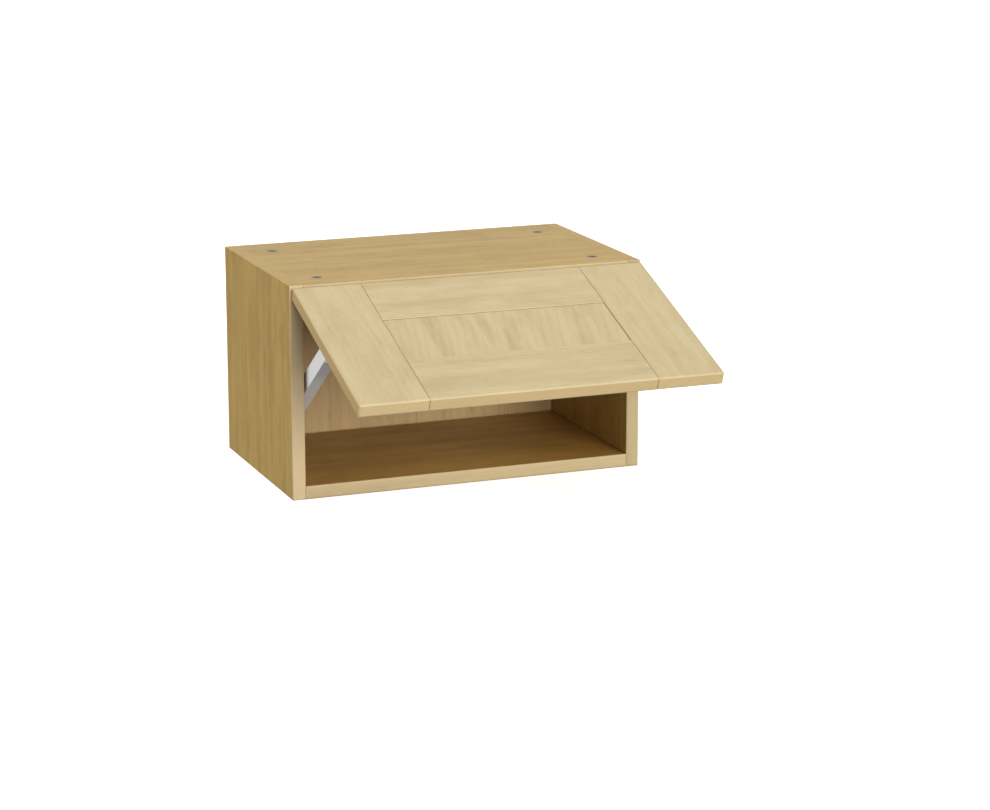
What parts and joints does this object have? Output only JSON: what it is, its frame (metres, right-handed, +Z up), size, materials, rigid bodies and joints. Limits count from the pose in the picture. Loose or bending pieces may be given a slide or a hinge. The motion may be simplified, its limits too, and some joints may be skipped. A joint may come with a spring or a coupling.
{
  "type": "lift-up wall cabinet",
  "caption": "Low wall cabinet in pale wood with a framed, handleless flap that lifts on concealed hinges and is held open by a sliding friction stay.",
  "frame": {"origin": "middle of the carcass's underside", "axes": "+X to the right seen from the front, +Y towards the wall, +Z up"},
  "size_m": [0.5, 0.5726, 0.29],
  "materials": {
    "board_wood": "satin clear lacquer",
    "back_panel_wood": "satin clear lacquer",
    "edging_wood": "satin clear lacquer",
    "frame_wood": "satin clear lacquer",
    "panel_wood": "satin clear lacquer",
    "dowel_wood": "fluted beech",
    "cam_zinc": "zinc-plated die casting",
    "stay_paint": "light grey powder coat",
    "stay_plastic": "moulded nylon",
    "bumper_plastic": "clear soft pad",
    "hinge_nickel": "nickel-plated steel",
    "bracket_zinc": "bright zinc-plated steel",
    "fastener_steel": "zinc-plated steel"
  },
  "bodies": {
    "carcass": {"side_panel_left": "board_wood", "side_panel_right": "board_wood", "top_panel": "board_wood", "bottom_panel": "board_wood", "back_panel": "back_panel_wood", "edging_left": "edging_wood", "edging_right": "edging_wood", "edging_top": "edging_wood", "edging_bottom": "edging_wood", "cam_locks_top": "cam_zinc", "cam_locks_bottom": "cam_zinc", "cam_bolts": "fastener_steel", "carcass_dowels": "dowel_wood", "hanger_left": "bracket_zinc", "hanger_right": "bracket_zinc", "hanger_screws": "fastener_steel", "hinge_plate_left": "hinge_nickel", "hinge_plate_right": "hinge_nickel", "hinge_plate_screws": "fastener_steel", "hinge_arm_left": "hinge_nickel", "hinge_arm_right": "hinge_nickel", "hinge_arm_screws": "fastener_steel", "stay_side_bracket": "bracket_zinc", "stay_side_screws": "fastener_steel", "stay_axle": "fastener_steel", "stay_axle_washer": "fastener_steel"},
    "flap": {"stile_left": "frame_wood", "stile_right": "frame_wood", "rail_top": "frame_wood", "rail_bottom": "frame_wood", "centre_panel": "panel_wood", "hinge_cup_left": "hinge_nickel", "hinge_cup_right": "hinge_nickel", "hinge_pins": "fastener_steel", "hinge_cup_screws": "fastener_steel", "stay_flap_bracket": "bracket_zinc", "stay_flap_screws": "fastener_steel", "stay_pivot_pin": "fastener_steel", "flap_bumpers": "bumper_plastic"},
    "stay_bar_body": {"stay_bar": "stay_paint", "stay_end_plug": "stay_plastic"},
    "stay_guide_body": {"stay_guide": "stay_plastic"}
  },
  "joints": [
    {"name": "flap_hinge", "type": "hinge", "parent": "carcass", "child": "flap", "pos_m": [0, -0.162, 0.278], "axis": [-1, 0, 0], "range_deg": [-70, 0]},
    {"name": "stay_bar_pivot", "type": "hinge", "parent": "flap", "child": "stay_bar_body", "pos_m": [-0.2195, -0.23631, 0.22488], "axis": [-1, 0, 0], "range_deg": [-1, 91]},
    {"name": "stay_guide_pivot", "type": "hinge", "parent": "carcass", "child": "stay_guide_body", "pos_m": [-0.2195, -0.078, 0.133], "axis": [-1, 0, 0], "range_deg": [-1, 21]}
  ],
  "couplings": [
    {"joint": "stay_bar_pivot", "follows": "flap_hinge", "ratio": -1.286},
    {"joint": "stay_guide_pivot", "follows": "flap_hinge", "ratio": -0.28602}
  ]
}
